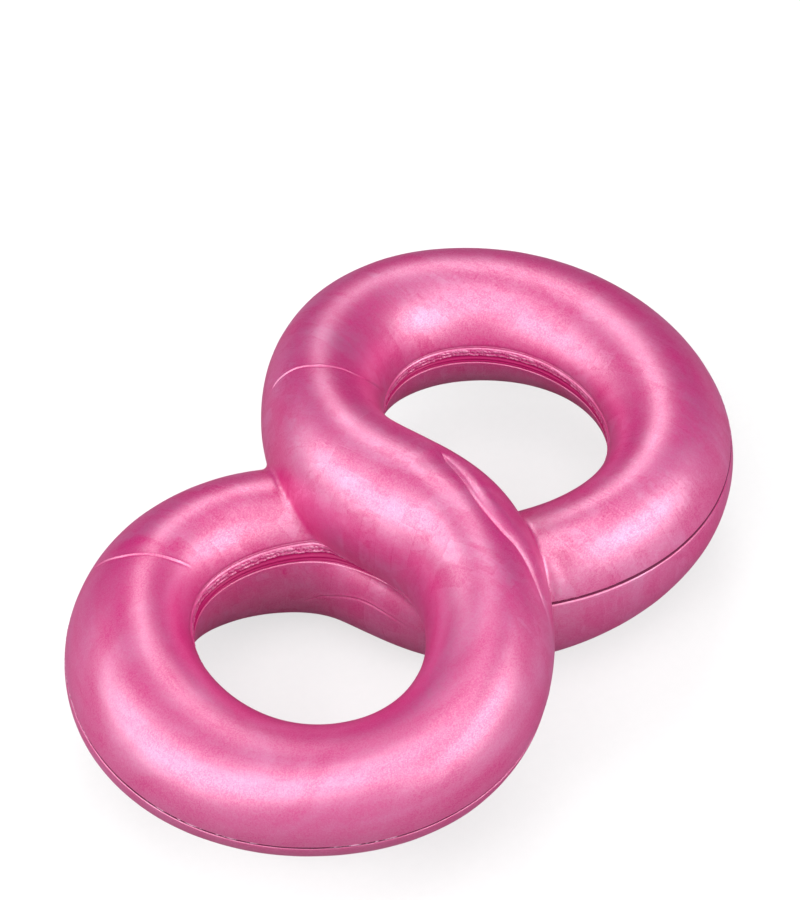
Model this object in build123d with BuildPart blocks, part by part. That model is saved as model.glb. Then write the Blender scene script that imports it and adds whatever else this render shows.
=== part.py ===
"""Figure-eight pull buoy: one thick tube that crosses over itself once.

Two moulded half shells meet on a flat parting plane and close round a foam core.
The shape has three half-turn axes, X, Y and Z, so both shells come from one mould.
The origin is the centre of the crossing, on the parting plane, and X runs through both rings.
"""
from build123d import *
import os
from math import cos, pi, radians, sin

os.makedirs("parts", exist_ok=True)

# ---- driving dimensions, in millimetres ----
# The centre line is a sum of waves in the turn angle t: a full turn runs round the eight once.
ALONG = {1: 87.3, 3: -32.9, 5: 1.3, 7: 1.4}             # X, in sines
ACROSS = {2: 60.0, 4: -13.7, 6: -0.6, 8: 1.5}           # Y, in sines
RISE = {1: 15.3, 3: 3.5, 5: -0.3}                       # Z, in cosines
HALF_WIDTH = {0: 24.0, 2: 0.6, 4: 1.4}                  # half width of the section, in cosines
HALF_HEIGHT = {0: 27.7, 2: 2.8, 4: -3.0, 6: -0.4}       # half height of the section, in cosines
BANK = {2: 0.07, 4: -0.07, 6: 0.04}                     # sideways slope of the section, in sines

WALL = 3.0              # thickness of the moulded skin
BOND_LINE = 0.8         # thickness of the bond between the two shells

STATION_STEP = 10       # degrees of turn between two sections
ARCS = 4                # curves that make up one section
ARC_STEPS = 4           # points along each curve


def sines(waves, t):
    return sum(size * sin(n * t) for n, size in waves.items())


def cosines(waves, t):
    return sum(size * cos(n * t) for n, size in waves.items())


def sine_slope(waves, t):
    return sum(size * n * cos(n * t) for n, size in waves.items())


def section_plane(t):
    """The upright plane square to the centre line as seen from above."""
    centre = Vector(sines(ALONG, t), sines(ACROSS, t), cosines(RISE, t))
    forward = Vector(sine_slope(ALONG, t), sine_slope(ACROSS, t), 0).normalized()
    sideways = Vector(-forward.Y, forward.X, 0)
    return Plane(origin=centre, x_dir=sideways, z_dir=forward)


def oval(t, inset, width_part, height_part):
    """A point or a direction on the banked oval section, inset from the outside of the tube."""
    across = (cosines(HALF_WIDTH, t) - inset) * width_part
    up = (cosines(HALF_HEIGHT, t) - inset) * height_part
    return (across, up + sines(BANK, t) * across)


def section_arc(t, inset, start, sweep):
    """One smooth stretch of the section's outline, from the angle start."""
    angles = [start + sweep * i / ARC_STEPS for i in range(ARC_STEPS + 1)]
    points = [oval(t, inset, cos(a), sin(a)) for a in angles]
    ends = [oval(t, inset, -sin(a), cos(a)) for a in (angles[0], angles[-1])]
    Spline(*points, tangents=ends)


def figure_eight(inset):
    """The whole closed tube: the strand that crosses over, and its half turn that crosses under."""
    sweep = 2 * pi / ARCS
    with BuildPart() as over_strand:
        for turn in range(-90, 91, STATION_STEP):
            t = radians(turn)
            with BuildSketch(section_plane(t)):
                with BuildLine():
                    for i in range(ARCS):
                        section_arc(t, inset, i * sweep, sweep)
                make_face()
        loft()
    return over_strand.part + over_strand.part.rotate(Axis.X, 180)


outside = figure_eight(0)
cavity = figure_eight(WALL)
upper_face = Plane.XY.offset(BOND_LINE / 2)
lower_face = Plane.XY.offset(-BOND_LINE / 2)

# ---- upper_shell: the moulded half that carries the strand crossing over ----
with BuildPart() as upper_shell:
    add(outside)
    split(bisect_by=upper_face, keep=Keep.TOP)
    add(cavity, mode=Mode.SUBTRACT)
upper_shell.part.label = "upper_shell"
export_step(upper_shell.part, "parts/upper_shell.step")

# ---- lower_shell: the same moulding, turned half a turn about X ----
with BuildPart() as lower_shell:
    add(upper_shell.part.rotate(Axis.X, 180))
lower_shell.part.label = "lower_shell"
export_step(lower_shell.part, "parts/lower_shell.step")

# ---- foam_core: closed-cell foam that fills both shells ----
with BuildPart() as foam_core:
    add(cavity)
foam_core.part.label = "foam_core"
export_step(foam_core.part, "parts/foam_core.step")

# ---- the bond between the shells: a bead round the outside and a band round each hole ----
with BuildPart() as bond:
    add(outside)
    split(bisect_by=upper_face, keep=Keep.BOTTOM)
    split(bisect_by=lower_face, keep=Keep.TOP)
    add(cavity, mode=Mode.SUBTRACT)
near_band, bead, far_band = bond.part.solids().sort_by(Axis.X)
loops = {
    "near_hole_seam_band": near_band,
    "outer_seam_bead": bead,
    "far_hole_seam_band": far_band,
}
for name, loop in loops.items():
    with BuildPart() as piece:
        add(loop)
    piece.part.label = name
    export_step(piece.part, f"parts/{name}.step")
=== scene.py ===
"""Looks of a figure-eight pull buoy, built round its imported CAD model.

The skin is two moulded half shells round a foam core. Between them a thin bond line runs round the
outside, and each hole has a band of trimmed flash. A piece made here stands for every CAD node.
Shapes are worked out in millimetres, in the CAD frame, and turned into metres when a mesh is made.
"""

import math

import bmesh
import bpy
import numpy as np
import openvdb
from mathutils import Matrix, Vector


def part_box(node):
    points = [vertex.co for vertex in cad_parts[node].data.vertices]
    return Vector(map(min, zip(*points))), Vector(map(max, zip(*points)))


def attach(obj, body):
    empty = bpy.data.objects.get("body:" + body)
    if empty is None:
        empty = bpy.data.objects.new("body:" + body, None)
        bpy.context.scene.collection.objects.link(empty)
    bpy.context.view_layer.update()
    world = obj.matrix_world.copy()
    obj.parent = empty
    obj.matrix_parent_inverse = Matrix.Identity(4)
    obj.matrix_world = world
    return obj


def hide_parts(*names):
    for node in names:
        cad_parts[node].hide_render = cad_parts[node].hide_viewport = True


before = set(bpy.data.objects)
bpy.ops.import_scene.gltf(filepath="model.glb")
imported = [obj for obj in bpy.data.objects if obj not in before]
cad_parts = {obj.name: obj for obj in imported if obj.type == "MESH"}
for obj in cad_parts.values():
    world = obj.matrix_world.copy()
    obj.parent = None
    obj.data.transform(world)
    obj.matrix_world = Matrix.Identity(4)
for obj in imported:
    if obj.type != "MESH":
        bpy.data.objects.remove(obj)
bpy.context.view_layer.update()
SHELL_BOXES = [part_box(name) for name in ("upper_shell", "lower_shell")]

MM = 0.001

# ---------------------------------------------------------------- the tube, as in the CAD source
# The centre line runs round the figure eight as a turn angle goes from 0 to 360 degrees.
ALONG = {1: 87.3, 3: -32.9, 5: 1.3, 7: 1.4}             # X, in sines
ACROSS = {2: 60.0, 4: -13.7, 6: -0.6, 8: 1.5}           # Y, in sines
RISE = {1: 15.3, 3: 3.5, 5: -0.3}                       # Z, in cosines
HALF_WIDTH = {0: 24.0, 2: 0.6, 4: 1.4}                  # in cosines
HALF_HEIGHT = {0: 27.7, 2: 2.8, 4: -3.0, 6: -0.4}       # in cosines
BANK = {2: 0.07, 4: -0.07, 6: 0.04}                     # sideways slope, in sines
WALL = 3.0
BOND_HALF = 0.4                                         # half of the bond line's height
OVER = (-118, 118)                                      # turn angles that the over strand covers
UNDER = (62, 298)
VALLEY = 3.0                                            # width of the fillet between the strands
VALLEY_TURNS = np.radians((60, 100))                    # the fillet needs strands this far apart

PITCH = 0.9                      # size of the shells' faces
CAVITY_PITCH = 3.0                                      # and of the faces round the foam
CAVITY_INSET = WALL + 0.05                              # depth of the cavity below the skin
CORE_GAP = 0.15                                         # from the nominal wall to the foam
LEVEL_TOLERANCE = 0.01                                  # for picking out points on a cut
CHUNK = 20000                                           # points compared at a time
HOLE_CENTRE = 56.5                                      # |X| of a hole's middle
HOLE_SIZE = (41.8, 47.5)


def sines(waves, t):
    return sum(size * np.sin(n * t) for n, size in waves.items())


def cosines(waves, t):
    return sum(size * np.cos(n * t) for n, size in waves.items())


def sine_slope(waves, t):
    return sum(size * n * np.cos(n * t) for n, size in waves.items())


def sine_curve(waves, t):
    return sum(-size * n * n * np.sin(n * t) for n, size in waves.items())


def smooth(low, high, value):
    """0 below low, 1 above high, and a soft step between."""
    share = np.clip((value - low) / (high - low), 0, 1)
    return share * share * (3 - 2 * share)


TURN_TRIES, TURN_ROUNDS = 100, 3
TURN_STEP = 0.1                                         # the most that one round may turn
LEAST_STIFF = 0.3                                       # keeps a round steady inside tight bends


def refine_turn(x, y, t, span):
    """Moves each turn angle to where the centre line is nearest in plan."""
    low, high = np.radians(span)
    for _ in range(TURN_ROUNDS):
        dx, dy = sines(ALONG, t) - x, sines(ACROSS, t) - y
        sx, sy = sine_slope(ALONG, t), sine_slope(ACROSS, t)
        pull = dx * sx + dy * sy
        stiff = sx * sx + sy * sy + dx * sine_curve(ALONG, t) + dy * sine_curve(ACROSS, t)
        step = pull / np.maximum(stiff, LEAST_STIFF * (sx * sx + sy * sy))
        t = np.clip(t - np.clip(step, -TURN_STEP, TURN_STEP), low, high)
    return t


def nearest_turn(x, y, span):
    """The turn angle in a span of degrees where the centre line is nearest in plan."""
    tries = np.radians(np.linspace(*span, TURN_TRIES))
    tx, ty = sines(ALONG, tries), sines(ACROSS, tries)
    best = np.empty(len(x), int)
    for start in range(0, len(x), CHUNK):
        part = slice(start, start + CHUNK)
        gap = (x[part, None] - tx) ** 2 + (y[part, None] - ty) ** 2
        best[part] = gap.argmin(1)
    return refine_turn(x, y, tries[best], span)


def strand_distance(x, y, z, t, inset):
    """About how far a point lies outside the tube, measured in the section at turn angle t."""
    sx, sy = sine_slope(ALONG, t), sine_slope(ACROSS, t)
    size = np.hypot(sx, sy)
    dx, dy = x - sines(ALONG, t), y - sines(ACROSS, t)
    past_end = np.abs(dx * sx + dy * sy) / size
    across = (dy * sx - dx * sy) / size
    up = z - cosines(RISE, t) - sines(BANK, t) * across
    wide, tall = cosines(HALF_WIDTH, t) - inset, cosines(HALF_HEIGHT, t) - inset
    ratio = np.hypot(across / wide, up / tall)
    slope = np.maximum(np.hypot(across / wide**2, up / tall**2), 1e-6)
    return (ratio - 1) * ratio / slope + past_end


def turns_at(points):
    x, y = points[:, 0], points[:, 1]
    return nearest_turn(x, y, OVER), nearest_turn(x, y, UNDER)


def skin_distance(points, turns, inset):
    """About how far points lie outside both strands, with a fillet where they meet."""
    x, y, z = points.T
    over = strand_distance(x, y, z, turns[0], inset)
    under = strand_distance(x, y, z, turns[1], inset)
    apart = np.abs(np.mod(turns[0] - turns[1] + np.pi, 2 * np.pi) - np.pi)
    fillet = VALLEY * smooth(*VALLEY_TURNS, apart) + 1e-6
    shared = np.maximum(fillet - np.abs(over - under), 0) / fillet
    return np.minimum(over, under) - shared**2 * fillet / 4


def follow(points, turns):
    return (refine_turn(points[:, 0], points[:, 1], turns[0], OVER),
            refine_turn(points[:, 0], points[:, 1], turns[1], UNDER))


PROBE = 0.05                                            # how far off the slope is measured
LEAST_SLOPE = 0.05                                      # keeps a step short where slopes cancel


def skin_slope(points, turns, inset):
    """The skin's outward direction at each point, and how far outside it the point lies."""
    here = skin_distance(points, turns, inset)
    slope = np.empty_like(points)
    for axis in range(3):
        moved = points.copy()
        moved[:, axis] += PROBE
        slope[:, axis] = (skin_distance(moved, follow(moved, turns), inset) - here) / PROBE
    return here, slope


def settle(points, inset, flat=None, steps=3):
    """Moves points on to the skin. Points marked flat keep their height. Returns the points, the
    outward directions and the turn angles."""
    turns = turns_at(points)
    for _ in range(steps):
        here, slope = skin_slope(points, turns, inset)
        if flat is not None:
            slope[flat, 2] = 0
        points = points - slope * (here / np.maximum((slope**2).sum(1), LEAST_SLOPE))[:, None]
        turns = follow(points, turns)
    _, slope = skin_slope(points, turns, inset)
    outward = slope / np.linalg.norm(slope, axis=1)[:, None]
    return points, outward, turns


# ---------------------------------------------------------------- seeded noise for real relief
NOISE_CELLS = 32                                        # the pattern repeats after this many


def lattice_noise(points, size, seed):
    """Smooth noise from -1 to 1 with features of about that size, the same on every run."""
    table = np.random.default_rng(seed).uniform(-1, 1, (NOISE_CELLS,) * 3)
    where = points / size
    base = np.floor(where).astype(int)
    part = where - base
    part = part * part * (3 - 2 * part)
    total = np.zeros(len(points))
    for corner in range(8):
        bits = np.array([corner & 1, corner >> 1 & 1, corner >> 2 & 1])
        weight = np.where(bits, part, 1 - part).prod(1)
        i, j, k = ((base + bits) % NOISE_CELLS).T
        total += weight * table[i, j, k]
    return total


# ---------------------------------------------------------------- knit lines on the skin
# Each line is where two flows of the moulding met, and runs through points in the CAD frame. It has
# a groove with a ridge beside it, and a soft line also sinks the skin gently on both sides.
KNITS = {
    "far_ring_left": dict(
        line=[(12, 65, 30), (15, 66, 33), (20, 60, 38), (24, 53, 42), (29, 46, 39.5),
              (36, 40, 31), (49, 42, 9)],
        groove=0.32, groove_width=0.5, ridge=0.12, ridge_width=0.4, soft=0.0),
    "near_ring_left": dict(
        line=[(-79, 82, 12), (-78, 80, 15), (-74.5, 71, 22), (-69, 62, 23),
              (-64.5, 54.5, 20), (-60, 49, 13)],
        groove=0.28, groove_width=0.5, ridge=0.2, ridge_width=0.4, soft=0.0),
    "crossing_fold": dict(
        line=[(14, -8, 42), (7.6, -21, 44), (-1, -35, 44), (-5, -47, 41.5), (-6, -55, 37),
              (-9, -63, 32), (-15, -70, 26), (-23, -78, 17)],
        groove=0.40, groove_width=0.5, ridge=0.0, ridge_width=0.4, soft=1.7, soft_width=5.5),
    "under_strand": dict(
        line=[(-30, 28, -22), (-27, 16, -14.5), (-25, 3.5, -10.5), (-25, -9, -12),
              (-23, -21, -16)],
        groove=0.22, groove_width=0.5, ridge=0.12, ridge_width=0.4, soft=0.0),
}
KNIT_REACH = 16.0                                       # how far a line is felt
KNIT_FADE = (9.0, KNIT_REACH - 1)                       # where its sides die out
KNIT_START, KNIT_END = 0.08, 0.3                        # share of its length that fades at each end
KNIT_PAST_END = 3                                       # how softly it stops past its last points
RIDGE_PLACE = 0.8                                       # from the groove to the ridge's top
KNIT_NEAR = 2.2                                         # faces this close are made finer
KNIT_ROUNDS = 2
LINE_POINTS, CURVE_STEPS = 160, 30


def smooth_line(points):
    """Evenly spread points on a smooth curve through the given ones."""
    points = np.array(points, float)
    padded = np.vstack([2 * points[0] - points[1], points, 2 * points[-1] - points[-2]])
    out = []
    for a, b, c, d in zip(padded, padded[1:], padded[2:], padded[3:]):
        for s in np.linspace(0, 1, CURVE_STEPS, endpoint=False):
            out.append(0.5 * (2 * b + (c - a) * s + (2 * a - 5 * b + 4 * c - d) * s**2
                              + (3 * b - a - 3 * c + d) * s**3))
    out = np.array(out + [points[-1]])
    length = np.concatenate([[0], np.cumsum(np.linalg.norm(np.diff(out, axis=0), axis=1))])
    even = np.linspace(0, length[-1], LINE_POINTS)
    return np.stack([np.interp(even, length, out[:, i]) for i in range(3)], 1)


for knit in KNITS.values():
    knit["path"] = settle(smooth_line(knit["line"]), 0)[0]


def near_knit(knit, points, outward):
    """Signed distance from a knit line, and its share of full strength there."""
    line = knit["path"]
    side = np.full(len(points), 1e3)
    strength = np.zeros(len(points))
    low, high = line.min(0) - KNIT_REACH, line.max(0) + KNIT_REACH
    close = np.flatnonzero(((points > low) & (points < high)).all(1))
    if not len(close):
        return side, strength
    here = points[close]
    best = np.empty(len(close), int)
    for start in range(0, len(close), CHUNK):
        part = slice(start, start + CHUNK)
        best[part] = ((here[part, None] - line) ** 2).sum(2).argmin(1)
    heading = np.gradient(line, axis=0)
    heading /= np.linalg.norm(heading, axis=1)[:, None]
    gap = here - line[best]
    beyond = np.abs((gap * heading[best]).sum(1))
    left = np.cross(outward[close], heading[best])
    side[close] = (gap * left).sum(1)
    share = best / (len(line) - 1)
    strength[close] = np.minimum(smooth(0, KNIT_START, share), smooth(0, KNIT_END, 1 - share))
    strength[close] *= np.exp(-(beyond / KNIT_PAST_END) ** 2)
    strength[close] *= 1 - smooth(*KNIT_FADE, np.abs(side[close]))
    return side, strength


def knit_relief(points, outward):
    """How far the knit lines raise or sink the skin at each point."""
    height = np.zeros(len(points))
    for knit in KNITS.values():
        side, strength = near_knit(knit, points, outward)
        wave = -knit["groove"] * np.exp(-(side / knit["groove_width"]) ** 2)
        wave += knit["ridge"] * np.exp(-((side - RIDGE_PLACE) / knit["ridge_width"]) ** 2)
        if knit["soft"]:
            soft, reach = knit["soft"], knit["soft_width"]
            gentle, steep = np.exp(side / (1.6 * reach)), np.exp(-side / (0.5 * reach))
            wave -= soft * np.where(side < 0, gentle, steep)
            swell = np.exp(-((side - 0.9 * reach) / (0.7 * reach)) ** 2)
            wave += 0.35 * soft * swell
        height += wave * strength
    return height


# ---------------------------------------------------------------- meshes
def new_piece(name, bm):
    """An object from a bmesh in metres, which is used up."""
    mesh = bpy.data.meshes.new(name)
    bm.to_mesh(mesh)
    bm.free()
    mesh.shade_smooth()
    piece = bpy.data.objects.new(name, mesh)
    bpy.context.scene.collection.objects.link(piece)
    return piece


def quads_of(inset, pitch):
    """The whole skin, or a surface inset from it, as points and quads."""
    reach = 3 * pitch
    low = np.min([box[0][:] for box in SHELL_BOXES], axis=0) / MM - reach
    high = np.max([box[1][:] for box in SHELL_BOXES], axis=0) / MM + reach
    x, y, z = (np.arange(a, b, pitch) for a, b in zip(low, high))
    gx, gy = (g.ravel() for g in np.meshgrid(x, y, indexing="ij"))
    turns = turns_at(np.stack([gx, gy], 1))
    values = np.empty((len(x), len(y), len(z)), np.float32)
    for k, level in enumerate(z):
        points = np.stack([gx, gy, np.full_like(gx, level)], 1)
        values[:, :, k] = skin_distance(points, turns, inset).reshape(len(x), len(y))
    grid = openvdb.FloatGrid(reach)
    grid.copyFromArray(np.clip(values, -reach, reach).astype(np.float32))
    points, quads = grid.convertToQuads(0.0)
    return points.astype(float) * pitch + low, quads


def mesh_of(points, quads):
    bm = bmesh.new()
    verts = [bm.verts.new(p) for p in points]
    for q in quads:
        bm.faces.new([verts[i] for i in q])
    bm.normal_update()
    return bm


def points_of(bm):
    return np.array([v.co[:] for v in bm.verts], float)


def move_to(bm, points):
    for v, p in zip(bm.verts, points):
        v.co = p


def cut(bm, height, keep=0):
    """Cuts a mesh at a height, and keeps what is above (1), below (-1) or both (0)."""
    geom = bm.verts[:] + bm.edges[:] + bm.faces[:]
    bmesh.ops.bisect_plane(bm, geom=geom, dist=1e-4, plane_co=(0, 0, height),
                           plane_no=(0, 0, 1), clear_inner=keep > 0, clear_outer=keep < 0)


def refine_near(bm, wanted, rounds):
    """Divides the edges for which wanted(points) holds at both ends, and their faces."""
    for _ in range(rounds):
        marks = wanted(points_of(bm))
        bm.verts.index_update()
        edges = [e for e in bm.edges if marks[e.verts[0].index] and marks[e.verts[1].index]]
        bmesh.ops.subdivide_edges(bm, edges=edges, cuts=1, use_grid_fill=True)


def hole_side(points):
    """Below 1 inside the plan of a hole, and about 1 on its wall."""
    return np.hypot((np.abs(points[:, 0]) - HOLE_CENTRE) / HOLE_SIZE[0],
                    points[:, 1] / HOLE_SIZE[1])


UPPER_SHOULDER, LOWER_SHOULDER = 1.0, 0.5               # radius of a shell's rounded outer rim
HOLE_SHOULDER = 0.25                                    # and of the crisper rim in a hole
HOLE_WALL = 1.3                                         # hole_side() is below this near a hole
RIM_ROWS = (0.12, 0.3, 0.6, 0.9)                        # rows of points back from the rim
BAND_LOW, BAND_HIGH = -0.4, 7.0                         # heights that a hole band covers
BAND_SINK = 1.1                                         # how far a shell stands back behind it
SINK_STEP = (BAND_HIGH - 0.9, BAND_HIGH + 0.1)          # heights where it comes forward again
WAVINESS = ((0.10, 17.0, 3), (0.035, 6.0, 5))           # height, size and seed of each wave


def skin_relief(points, outward, side):
    """How far a finished shell stands off the true surface at each point."""
    in_hole = hole_side(points) < HOLE_WALL
    shoulder = np.where(in_hole, HOLE_SHOULDER, UPPER_SHOULDER if side > 0 else LOWER_SHOULDER)
    above = np.clip(side * points[:, 2] - BOND_HALF, 0, shoulder)
    rim = shoulder - np.sqrt(np.maximum(shoulder**2 - (shoulder - above) ** 2, 0))
    relief = -np.where(above < shoulder, rim, 0)
    relief += sum(height * lattice_noise(points, size, seed) for height, size, seed in WAVINESS)
    relief += knit_relief(points, outward)
    if side > 0:
        relief -= BAND_SINK * in_hole * (1 - smooth(*SINK_STEP, points[:, 2]))
    return relief


def store_flow(piece, turns, points):
    """Keeps, for the material, where each point is along and round its strand."""
    x, y, z = points.T
    distances = [strand_distance(x, y, z, t, 0) for t in turns]
    t = np.where(distances[0] < distances[1], turns[0], turns[1])
    sx, sy = sine_slope(ALONG, t), sine_slope(ACROSS, t)
    size = np.hypot(sx, sy)
    across = ((y - sines(ACROSS, t)) * sx - (x - sines(ALONG, t)) * sy) / size
    up = z - cosines(RISE, t)
    around = np.arctan2(up, across)
    flow = np.stack([np.cos(t), np.sin(t), np.cos(around)], 1)
    add_attribute(piece, "flow", flow, "FLOAT_VECTOR")
    add_attribute(piece, "flow_w", np.sin(around))


def add_attribute(piece, name, values, kind="FLOAT"):
    attribute = piece.data.attributes.new(name, kind, "POINT")
    key = "vector" if kind == "FLOAT_VECTOR" else "value"
    attribute.data.foreach_set(key, np.asarray(values, np.float32).ravel())


def close_to_knit(points):
    """Marks the points close to a knit line."""
    marks = np.zeros(len(points), bool)
    for knit in KNITS.values():
        line = knit["path"]
        low, high = line.min(0) - KNIT_NEAR, line.max(0) + KNIT_NEAR
        close = np.flatnonzero(((points > low) & (points < high)).all(1))
        gap = ((points[close, None] - line) ** 2).sum(2).min(1)
        marks[close] |= gap < KNIT_NEAR**2
    return marks


outer_points, outer_quads = quads_of(0, PITCH)
cavity_points, cavity_quads = quads_of(CAVITY_INSET, CAVITY_PITCH)


def make_shell(name, side):
    """One half of the skin: outer face, rounded rim and the face round the foam."""
    bm = mesh_of(outer_points, outer_quads)
    edge = side * BOND_HALF
    cut(bm, edge, side)
    for step in RIM_ROWS:
        cut(bm, edge + side * step)
    refine_near(bm, close_to_knit, KNIT_ROUNDS)
    bmesh.ops.triangulate(bm, faces=[f for f in bm.faces if len(f.verts) > 4])
    points = points_of(bm)
    flat = np.abs(points[:, 2] - edge) < LEVEL_TOLERANCE
    points, outward, turns = settle(points, 0, flat)
    relief = skin_relief(points, outward, side)
    outward[flat, 2] = 0
    finished = points + outward * relief[:, None]
    finished[flat, 2] = edge
    move_to(bm, finished)

    inner = mesh_of(cavity_points, cavity_quads[:, ::-1])
    cut(inner, edge, side)
    in_points = points_of(inner)
    in_flat = np.abs(in_points[:, 2] - edge) < LEVEL_TOLERANCE
    in_points, _, in_turns = settle(in_points, CAVITY_INSET, in_flat)
    in_points[in_flat, 2] = edge
    move_to(inner, in_points)
    joined = bpy.data.meshes.new("cavity")
    inner.to_mesh(joined)
    inner.free()
    bm.from_mesh(joined)
    bpy.data.meshes.remove(joined)

    rim = [e for e in bm.edges if e.is_boundary]
    filled = bmesh.ops.triangle_fill(bm, edges=rim, use_beauty=True, normal=(0, 0, -side))
    for f in filled["geom"]:
        if isinstance(f, bmesh.types.BMFace) and f.normal.z * side > 0:
            f.normal_flip()
    all_points = np.vstack([points, in_points])
    all_turns = [np.concatenate([a, b]) for a, b in zip(turns, in_turns)]
    bmesh.ops.scale(bm, vec=(MM, MM, MM), verts=bm.verts)
    piece = new_piece(name, bm)
    store_flow(piece, all_turns, all_points)
    return piece


FOAM_LUMP_SIZE, FOAM_LUMP_HEIGHT = 5.0, 0.03


def make_core():
    """The closed-cell foam that fills the cavity, a hair inside the shells."""
    bm = mesh_of(cavity_points, cavity_quads)
    points, outward, _ = settle(points_of(bm), WALL + CORE_GAP)
    lumps = lattice_noise(points, FOAM_LUMP_SIZE, 7)
    points += outward * FOAM_LUMP_HEIGHT * lumps[:, None]
    move_to(bm, points)
    bmesh.ops.scale(bm, vec=(MM, MM, MM), verts=bm.verts)
    return new_piece("foam_core_fill", bm)


upper_skin = make_shell("upper_skin", 1)
lower_skin = make_shell("lower_skin", -1)
core = make_core()


# ---------------------------------------------------------------- seam strips
START_INSIDE, START_OUTSIDE = 25.0, 155.0               # where a ray's search for the wall starts
WALL_ROUNDS, WALL_STEP = 22, 0.95
AROUND_STEPS = 720
LEAN = 0.3                                              # share of the wall's tilt that strips take


def wall_points(centre, angles, heights, inward):
    """Points on the skin along rays from a centre, one row for each height."""
    angle, level = (g.ravel() for g in np.meshgrid(angles, heights, indexing="ij"))
    ray = np.stack([np.cos(angle), np.sin(angle)], 1)
    reach = np.full(len(angle), START_INSIDE if inward else START_OUTSIDE)
    sign = 1 if inward else -1
    for attempt in range(WALL_ROUNDS):
        points = np.column_stack([centre[0] + ray[:, 0] * reach, centre[1] + ray[:, 1] * reach,
                                  level])
        turns = turns_at(points) if attempt % 6 == 0 else follow(points, turns)
        reach += sign * WALL_STEP * skin_distance(points, turns, 0)
    return points, turns


def even_angles(centre, count, inward):
    """Angles that give evenly spaced points round the wall, and how far along each one is."""
    angles = np.linspace(0, 2 * np.pi, AROUND_STEPS + 1)
    points, _ = wall_points(centre, angles[:-1], [0.0], inward)
    closed = np.vstack([points, points[:1]])
    length = np.concatenate([[0], np.cumsum(np.linalg.norm(np.diff(closed, axis=0), axis=1))])
    even = np.linspace(0, length[-1], count, endpoint=False)
    return np.interp(even, length, angles), even


def ring_strip(name, centre, count, profile, inward):
    """A closed ring along the wall. Its profile has front rows at given heights, whose stand-off
    comes from a relief function, and back points given as (height, stand-off)."""
    angles, arc = even_angles(centre, count, inward)
    heights, backs = profile["heights"], profile["backs"]
    points, turns = wall_points(centre, angles, heights, inward)
    _, slope = skin_slope(points, turns, 0)
    slope[:, 2] *= LEAN
    outward = slope / np.linalg.norm(slope, axis=1)[:, None]
    rows = len(heights)
    arcs = np.repeat(arc, rows)
    levels = np.tile(np.arange(rows), count)
    off, marks = profile["relief"](arcs, levels)
    placed = points + outward * off[:, None]
    placed = placed.reshape(count, rows, 3)
    back_points, back_turns = wall_points(centre, angles, [h for h, _ in backs], inward)
    _, back_slope = skin_slope(back_points, back_turns, 0)
    back_slope[:, 2] = 0
    back_slope /= np.linalg.norm(back_slope, axis=1)[:, None]
    depth = np.tile([d for _, d in backs], count)
    back = (back_points + back_slope * depth[:, None]).reshape(count, len(backs), 3)
    loop = np.concatenate([placed, back], axis=1)
    around = loop.shape[1]
    bm = bmesh.new()
    verts = [bm.verts.new(p) for p in loop.reshape(-1, 3) * MM]
    for i in range(count):
        a, b = i * around, (i + 1) % count * around
        for j in range(around):
            k = (j + 1) % around
            quad = [verts[a + j], verts[a + k], verts[b + k], verts[b + j]]
            bm.faces.new(quad if inward else quad[::-1])
    bm.normal_update()
    piece = new_piece(name, bm)
    full = np.concatenate([marks.reshape(count, rows, -1),
                           np.zeros((count, len(backs), marks.shape[-1]))], axis=1)
    full = full.reshape(-1, marks.shape[-1])
    add_attribute(piece, "flash", full[:, 0])
    add_attribute(piece, "land", full[:, 1])
    return piece


def stretched(arcs, heights, along, up, seed):
    """Noise stretched along a strip: arc length and height, each with its own grain size."""
    return lattice_noise(np.column_stack([arcs / along, heights / up, np.zeros_like(arcs)]), 1.0,
                         seed)


BAND_ROWS = 38
BAND_COUNT = 1400                # columns round a hole
BAND_HEIGHTS = np.linspace(BAND_LOW, BAND_HIGH, BAND_ROWS)
BEAD_PLACE, BEAD_WIDTH = 1.55, 0.45                     # height of the bead on the land
LAND_TOP = (2.8, 3.3)
TORN_FOOT, TORN_TOP = (2.8, 3.2), (5.0, 6.0)
TORN_ROW = 1.5                                          # between two rows of torn flash


def band_relief(arcs, levels):
    """How far a hole band stands off the wall, and its shares of flash and of land: a joint, a
    smooth land with a bead, and rows of torn flash above it."""
    z = BAND_HEIGHTS[levels]
    wander = 0.35 * stretched(arcs, z * 0, 9.0, 1.0, 11)
    joint = -0.25 * (1 - smooth(0.0, 0.3, z))
    bead = 0.5 * np.exp(-((z - BEAD_PLACE) / BEAD_WIDTH) ** 2)
    step_in = -0.4 * smooth(0.3, 0.9, z) * (1 - smooth(*LAND_TOP, z + wander))
    torn = smooth(*TORN_FOOT, z + wander) * (1 - smooth(*TORN_TOP, z + wander))
    fibre = stretched(arcs, z, 0.8, 0.4, 21) + 0.8 * stretched(arcs, z, 0.4, 0.3, 23)
    ridges = np.sin((z + wander) * 2 * np.pi / TORN_ROW)
    off = joint + bead + step_in + torn * (0.05 + 0.13 * fibre + 0.08 * ridges)
    off -= 0.35 * smooth(5.6, 6.1, z) * (1 - smooth(6.3, 6.7, z))
    off -= 0.6 * smooth(BAND_HIGH - 0.4, BAND_HIGH, z)
    white = torn * np.clip(0.4 + 0.8 * fibre + 0.4 * ridges, 0, 1)
    smooth_land = smooth(-0.2, 0.1, z) * (1 - smooth(*LAND_TOP, z + wander))
    smooth_land += 0.7 * torn * (1 - white)
    return off, np.column_stack([white, np.clip(smooth_land, 0, 1)])


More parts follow.
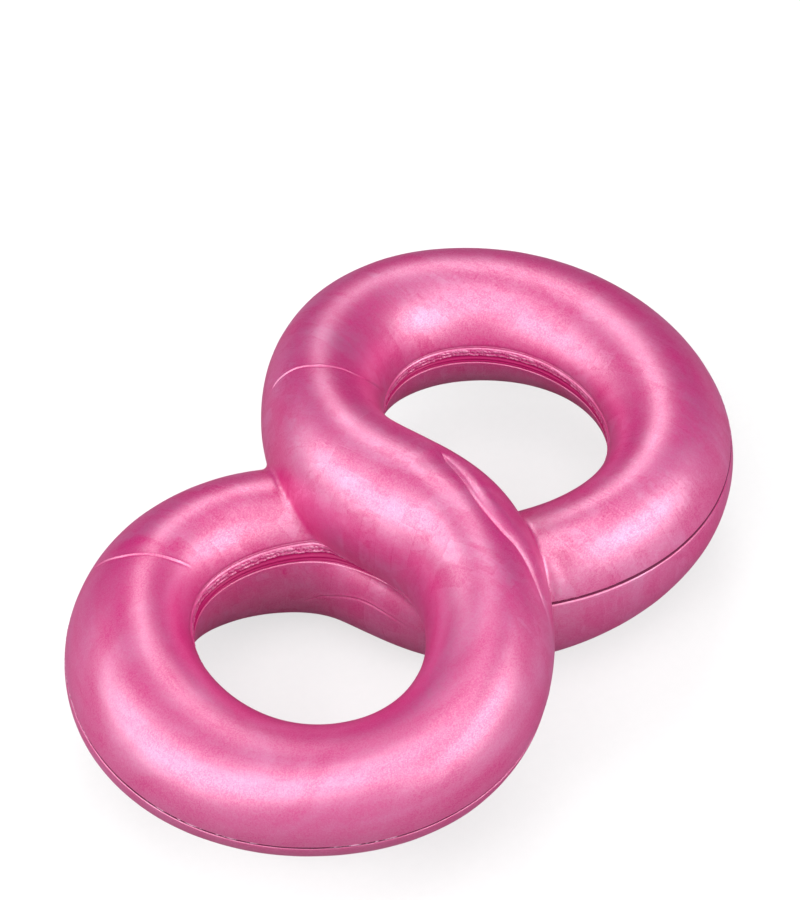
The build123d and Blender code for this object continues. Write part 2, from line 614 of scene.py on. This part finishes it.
BAND = {"heights": BAND_HEIGHTS, "relief": band_relief,
        "backs": [(BAND_HIGH, -1.7), ((BAND_LOW + BAND_HIGH) / 2, -2.0), (BAND_LOW, -2.2)]}
near_band = ring_strip("near_hole_flash_band", (-HOLE_CENTRE, 0), BAND_COUNT, BAND, True)
far_band = ring_strip("far_hole_flash_band", (HOLE_CENTRE, 0), BAND_COUNT, BAND, True)

LINE_COUNT = 2600                # columns round the outside
LINE_HEIGHTS = np.array([-1.0, -0.8, -0.6, -0.3, 0.0, 0.3, 0.5, 0.65, 0.78, 0.9, 1.05, 1.25])
LINE_SINK = 0.42                                        # depth of the bond surface
FIN_FOOT, FIN_TOP = (0.62, 0.8), (1.05, 1.25)


def line_relief(arcs, levels):
    """How far the bond line stands off the wall, and its share of flash: a sunken surface with a
    torn fin along its upper side."""
    z = LINE_HEIGHTS[levels]
    ragged = stretched(arcs, z * 0, 1.1, 1.0, 31) + 0.7 * stretched(arcs, z * 0, 0.45, 1.0, 33)
    patch = smooth(-0.3, 0.5, stretched(arcs, z * 0, 24.0, 1.0, 35))
    fin = smooth(*FIN_FOOT, z + 0.08 * ragged) * (1 - smooth(*FIN_TOP, z))
    off = fin * (0.36 + patch * (0.05 + 0.12 * ragged)) - LINE_SINK - 0.5 * smooth(*FIN_TOP, z)
    off -= 0.5 * smooth(0.8, 1.0, -z)
    return off, np.column_stack([fin * patch * np.clip(0.3 + 0.5 * ragged, 0, 1), 0 * z])


LINE = {"heights": LINE_HEIGHTS, "relief": line_relief, "backs": [(0.9, -2.6), (-0.8, -2.6)]}
outer_line = ring_strip("outer_bond_line", (0, 0), LINE_COUNT, LINE, False)


# ---------------------------------------------------------------- materials
PLASTIC = ("D2147A", "DC2388", "E83EA0")                # deep, middle and light pink
MICA, MICA_EDGE = "F4C2D8", "E27FB2"                    # face on, and at a glancing angle
LAND_PINK, FLASH_PINK = "B00A60", "E8A8C8"
# the bond line's two dark colours are painted shade: they stand for the shadow under the shells'
# overhanging rims
BOND_PAINTED_SHADE, BOND_FLASH = ("5E1038", "7C1C4C"), "E0A8C4"
FOAM_COLOURS = ("F2EFEA", "DDD8D0")
FLAKES = 2400.0                                         # mica flakes to the metre
TORN_GRAIN, BOND_GRAIN, FOAM_CELLS = 900.0, 1100.0, 700.0


def linear(code):
    """A colour code such as E878B0 as linear red, green, blue and alpha."""
    parts = [int(code[i:i + 2], 16) / 255 for i in (0, 2, 4)]
    return [c / 12.92 if c <= 0.04045 else ((c + 0.055) / 1.055) ** 2.4 for c in parts] + [1]


class Nodes:
    """Short calls for building a node material."""

    def __init__(self, name):
        self.material = bpy.data.materials.new(name)
        self.material.use_nodes = True
        self.tree = self.material.node_tree
        self.tree.nodes.clear()

    def add(self, kind, **settings):
        node = self.tree.nodes.new("ShaderNode" + kind)
        for key, value in settings.items():
            if hasattr(node, key):
                setattr(node, key, value)
            else:
                node.inputs[key].default_value = value
        return node

    def link(self, source, node, socket):
        out = source if isinstance(source, bpy.types.NodeSocket) else source.outputs[0]
        self.tree.links.new(out, node.inputs[socket])

    def math(self, operation, a, b):
        node = self.add("Math", operation=operation)
        for i, value in enumerate((a, b)):
            if isinstance(value, (int, float)):
                node.inputs[i].default_value = value
            else:
                self.link(value, node, i)
        return node

    def ramp(self, source, *stops):
        """A colour ramp from (place, colour code) stops."""
        node = self.add("ValToRGB")
        ramp = node.color_ramp
        while len(ramp.elements) < len(stops):
            ramp.elements.new(0.5)
        for element, (place, code) in zip(ramp.elements, stops):
            element.position = place
            element.color = linear(code)
        self.link(source, node, 0)
        return node

    def mix(self, share, a, b):
        node = self.add("Mix", data_type="RGBA")
        for socket, value in ((0, share), (6, a), (7, b)):
            if isinstance(value, (int, float)):
                node.inputs[socket].default_value = value
            elif isinstance(value, str):
                node.inputs[socket].default_value = linear(value)
            else:
                self.link(value, node, socket)
        return node.outputs[2]


def pearl(name, strips=False):
    """Pink pearl pigment in a moulded skin. Deep pink plastic holds tiny pale mica flakes, which
    give the soft wide gloss, and the flow of the moulding gathers them in streaks. On the strips,
    the land is plain deep pink and the torn flash is pale."""
    n = Nodes(name)
    place = n.add("TexCoord")
    flow = n.add("Attribute", attribute_name="flow")
    flow_w = n.add("Attribute", attribute_name="flow_w")
    # streaks drawn out along the strand, and soft wisps across it
    marble = n.add("TexNoise", noise_dimensions="4D", Scale=1.5, Detail=4.0, Roughness=0.5,
                   Distortion=1.2)
    n.link(flow.outputs["Vector"], marble, "Vector")
    n.link(flow_w.outputs["Fac"], marble, "W")
    wisps = n.add("TexNoise", Scale=17.0, Detail=3.0, Roughness=0.5, Distortion=2.6)
    n.link(place.outputs["Object"], wisps, "Vector")
    tone = n.math("ADD", n.math("MULTIPLY", marble.outputs["Fac"], 0.55),
                  n.math("MULTIPLY", wisps.outputs["Fac"], 0.45))
    plastic = n.ramp(tone, *zip((0.36, 0.50, 0.64), PLASTIC))
    # mica flakes: every cell of a fine grain holds more or less of them, most where the flow
    # gathered them
    flakes = n.add("TexVoronoi", feature="F1", Scale=FLAKES, Randomness=1.0)
    n.link(place.outputs["Object"], flakes, "Vector")
    parts = n.add("SeparateColor")
    n.link(flakes.outputs["Color"], parts, 0)
    share = n.math("ADD", n.math("MULTIPLY", tone, 1.3), -0.36)
    share = n.math("ADD", share, n.math("MULTIPLY", parts.outputs[0], 0.24))
    body_colour = plastic.outputs[0]
    if strips:
        flash = n.add("Attribute", attribute_name="flash")
        land = n.add("Attribute", attribute_name="land")
        torn = n.add("TexNoise", Scale=TORN_GRAIN, Detail=3.0, Roughness=0.7)
        n.link(place.outputs["Object"], torn, "Vector")
        grain = n.ramp(n.math("MULTIPLY", torn.outputs["Fac"], flash.outputs["Fac"]),
                       (0.10, "000000"), (0.46, "B0B0B0"))
        body_colour = n.mix(n.math("MULTIPLY", land.outputs["Fac"], 0.9), body_colour, LAND_PINK)
        body_colour = n.mix(grain, body_colour, FLASH_PINK)
        quiet = n.math("SUBTRACT", 1.0, n.math("MULTIPLY", land.outputs["Fac"], 0.95))
        share = n.math("MULTIPLY", share, quiet)
    plastic_part = n.add("BsdfPrincipled", Roughness=0.42)
    if strips:
        plastic_part.inputs["Specular IOR Level"].default_value = 0.2
    n.link(body_colour, plastic_part, "Base Color")
    mica_part = n.add("BsdfPrincipled", Metallic=1.0)
    mica_part.inputs["Base Color"].default_value = linear(MICA)
    mica_part.inputs["Specular Tint"].default_value = linear(MICA_EDGE)
    n.link(n.math("ADD", n.math("MULTIPLY", wisps.outputs["Fac"], 0.16), 0.37), mica_part,
           "Roughness")
    shader = n.add("MixShader")
    n.link(share, shader, 0)
    n.link(plastic_part, shader, 1)
    n.link(mica_part, shader, 2)
    # relief: the flakes tilt a little, over a faint orange peel
    peel = n.add("TexNoise", Scale=420.0, Detail=2.0, Roughness=0.5)
    n.link(place.outputs["Object"], peel, "Vector")
    lump = n.math("ADD", n.math("MULTIPLY", parts.outputs[1], 0.25), peel.outputs["Fac"])
    bump = n.add("Bump", Strength=0.2, Distance=0.00005)
    n.link(lump, bump, "Height")
    n.link(bump, plastic_part, "Normal")
    n.link(bump, mica_part, "Normal")
    out = n.add("OutputMaterial")
    n.link(shader, out, 0)
    return n.material


def bond_line(name):
    """Bond rubber in the groove, painted dark as the shadow under the shells' overhanging rims,
    with pale torn flash on its fin.
    """
    n = Nodes(name)
    place = n.add("TexCoord")
    flash = n.add("Attribute", attribute_name="flash")
    torn = n.add("TexNoise", Scale=BOND_GRAIN, Detail=3.0, Roughness=0.7)
    n.link(place.outputs["Object"], torn, "Vector")
    # painted shade: the shadow in the groove under the rims, given as dark colours
    base = n.ramp(torn.outputs["Fac"], *zip((0.3, 0.7), BOND_PAINTED_SHADE))
    grain = n.ramp(n.math("MULTIPLY", torn.outputs["Fac"], flash.outputs["Fac"]),
                   (0.05, "000000"), (0.3, "FFFFFF"))
    shader = n.add("BsdfPrincipled", Roughness=0.7)
    n.link(n.mix(grain, base.outputs[0], BOND_FLASH), shader, "Base Color")
    bump = n.add("Bump", Strength=0.6, Distance=0.0001)
    n.link(torn.outputs["Fac"], bump, "Height")
    n.link(bump, shader, "Normal")
    out = n.add("OutputMaterial")
    n.link(shader, out, 0)
    return n.material


def closed_cell_foam(name):
    """White closed-cell foam: small cells, faint colour change, matt."""
    n = Nodes(name)
    place = n.add("TexCoord")
    cells = n.add("TexVoronoi", feature="F1", Scale=FOAM_CELLS)
    n.link(place.outputs["Object"], cells, "Vector")
    shade = n.ramp(cells.outputs["Distance"], *zip((0.1, 0.7), FOAM_COLOURS))
    shader = n.add("BsdfPrincipled", Roughness=0.9)
    n.link(shade, shader, "Base Color")
    bump = n.add("Bump", Strength=0.5, Distance=0.0003)
    n.link(cells.outputs["Distance"], bump, "Height")
    n.link(bump, shader, "Normal")
    out = n.add("OutputMaterial")
    n.link(shader, out, 0)
    return n.material


pearl_skin = pearl("pearl_pink_skin")
pearl_band = pearl("pearl_pink_flash_band", strips=True)
bond = bond_line("bond_line_rubber_painted_shade")
for piece in (upper_skin, lower_skin):
    piece.data.materials.append(pearl_skin)
for piece in (near_band, far_band):
    piece.data.materials.append(pearl_band)
outer_line.data.materials.append(bond)
core.data.materials.append(closed_cell_foam("core_foam"))

for piece, node in ((upper_skin, "upper_shell"), (lower_skin, "lower_shell"),
                    (near_band, "near_hole_seam_band"), (far_band, "far_hole_seam_band"),
                    (outer_line, "outer_seam_bead"), (core, "foam_core")):
    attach(piece, "root")
    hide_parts(node)

# ---------------------------------------------------------------- floor, lights and camera
WHITE = (1, 1, 1, 1)
FLOOR_GLOW = 0.68                                       # a lit table, so the floor stays neutral
FLOOR_DIM = 0.72                                        # how far its paper is darkened
FLOOR_HALF, FLOOR_STEPS = 3.0, 40
FLOOR_CLEARANCE = 0.15 * MM                             # keeps it below the skin's waviness
FLOOR_Z = min(box[0][2] for box in SHELL_BOXES) - FLOOR_CLEARANCE


def floor_piece():
    """A flat pale studio floor that glows a little."""
    bm = bmesh.new()
    spread = np.linspace(-FLOOR_HALF, FLOOR_HALF, FLOOR_STEPS + 1)
    verts = [[bm.verts.new((x, y, FLOOR_Z)) for y in spread] for x in spread]
    for i in range(FLOOR_STEPS):
        for j in range(FLOOR_STEPS):
            bm.faces.new((verts[i][j], verts[i + 1][j], verts[i + 1][j + 1], verts[i][j + 1]))
    floor = new_piece("studio_floor", bm)
    n = Nodes("studio_floor_paper")
    place = n.add("TexCoord")
    fibre = n.add("TexNoise", Scale=300.0, Detail=3.0)
    n.link(place.outputs["Object"], fibre, "Vector")
    shade = n.ramp(fibre.outputs["Fac"], (0.3, "F4F4F4"), (0.7, "F8F8F8"))
    dim = n.mix(FLOOR_DIM, shade.outputs[0], "000000")
    shader = n.add("BsdfPrincipled", Roughness=0.9)
    shader.inputs["Specular IOR Level"].default_value = 0.1
    shader.inputs["Emission Color"].default_value = WHITE
    shader.inputs["Emission Strength"].default_value = FLOOR_GLOW
    n.link(dim, shader, "Base Color")
    out = n.add("OutputMaterial")
    n.link(shader, out, 0)
    floor.data.materials.append(n.material)
    # the table's own glow isn't cast on the object, so its underside stays in shade
    lit = bpy.data.collections.new("lit_by_floor")
    lit.objects.link(floor)
    floor.light_linking.receiver_collection = lit


def direction(azimuth, elevation):
    """From the object outwards. Azimuth 0 is on the -Y side, and 90 on the +X side."""
    a, e = math.radians(azimuth), math.radians(elevation)
    return Vector((math.sin(a) * math.cos(e), -math.cos(a) * math.cos(e), math.sin(e)))


def softbox(name, azimuth, elevation, distance, width, height, power):
    """An area light that faces the object."""
    away = direction(azimuth, elevation)
    light = bpy.data.lights.new(name, "AREA")
    light.shape = "RECTANGLE"
    light.size, light.size_y = width, height
    light.energy = power
    lamp = bpy.data.objects.new(name, light)
    lamp.location = away * distance
    lamp.rotation_mode = "QUATERNION"
    lamp.rotation_quaternion = away.to_track_quat("Z", "Y")
    bpy.context.scene.collection.objects.link(lamp)


floor_piece()
softbox("key_left", azimuth=230, elevation=36, distance=1.4, width=1.5, height=0.9, power=11.5)
softbox("fill_right", azimuth=5, elevation=28, distance=1.4, width=1.2, height=0.8, power=11.5)
softbox("top", azimuth=300, elevation=72, distance=1.5, width=1.3, height=1.3, power=11)
softbox("far_top", azimuth=121, elevation=46, distance=1.5, width=0.55, height=0.55, power=4.5)

# the room is dim behind the far ring, which keeps the inner walls of the rings deep in colour
DIM_SIDE = Vector((0.82, 0.47, 0.33)).normalized()
DIM_START, DIM_END = -0.35, 0.55
ROOM_LIGHT, ROOM_DARK = 0.43, 0.03


def studio_room():
    """A white backdrop for the camera, and a room that lights the object from one side."""
    world = bpy.data.worlds.new("studio")
    bpy.context.scene.world = world
    world.use_nodes = True
    tree = world.node_tree
    tree.nodes.clear()
    paths = tree.nodes.new("ShaderNodeLightPath")
    backdrop = tree.nodes.new("ShaderNodeBackground")
    backdrop.inputs["Color"].default_value = WHITE
    backdrop.inputs["Strength"].default_value = 1.0
    heading = tree.nodes.new("ShaderNodeTexCoord")
    facing = tree.nodes.new("ShaderNodeVectorMath")
    facing.operation = "DOT_PRODUCT"
    facing.inputs[1].default_value = DIM_SIDE
    level = tree.nodes.new("ShaderNodeMapRange")
    level.inputs["From Min"].default_value = DIM_START
    level.inputs["From Max"].default_value = DIM_END
    level.inputs["To Min"].default_value = ROOM_LIGHT
    level.inputs["To Max"].default_value = ROOM_DARK
    room = tree.nodes.new("ShaderNodeBackground")
    room.inputs["Color"].default_value = WHITE
    choose = tree.nodes.new("ShaderNodeMixShader")
    end = tree.nodes.new("ShaderNodeOutputWorld")
    tree.links.new(heading.outputs["Generated"], facing.inputs[0])
    tree.links.new(facing.outputs["Value"], level.inputs["Value"])
    tree.links.new(level.outputs[0], room.inputs["Strength"])
    tree.links.new(paths.outputs["Is Camera Ray"], choose.inputs[0])
    tree.links.new(room.outputs[0], choose.inputs[1])
    tree.links.new(backdrop.outputs[0], choose.inputs[2])
    tree.links.new(choose.outputs[0], end.inputs[0])


studio_room()

# The camera looks down at 48 degrees from the near ring's side, and stands about 1.2 m away.
CAMERA_ELEVATION, CAMERA_AZIMUTH, CAMERA_ROLL = 48.1, -52.7, -4.5
CAMERA_DISTANCE = 1.241
CAMERA_SIDE, CAMERA_DROP = 0.0018, 0.0329               # where the object sits in the view
LENS, SENSOR_HEIGHT = 90.67, 24


def place_camera():
    """Puts the camera where the photo was taken from."""
    azimuth, roll = math.radians(CAMERA_AZIMUTH), math.radians(CAMERA_ROLL)
    back = direction(CAMERA_AZIMUTH, CAMERA_ELEVATION)
    right = Vector((math.cos(azimuth), math.sin(azimuth), 0))
    up = back.cross(right)
    right, up = (math.cos(roll) * right + math.sin(roll) * up,
                 -math.sin(roll) * right + math.cos(roll) * up)
    turn = Matrix((right, up, back)).transposed()
    lens = bpy.data.cameras.new("camera")
    lens.sensor_fit = "VERTICAL"
    lens.sensor_height = SENSOR_HEIGHT
    lens.lens = LENS
    camera = bpy.data.objects.new("camera", lens)
    camera.matrix_world = Matrix.Translation(
        back * CAMERA_DISTANCE - right * CAMERA_SIDE + up * CAMERA_DROP) @ turn.to_4x4()
    bpy.context.scene.collection.objects.link(camera)
    bpy.context.scene.camera = camera


place_camera()
bpy.context.scene.view_settings.view_transform = "Standard"
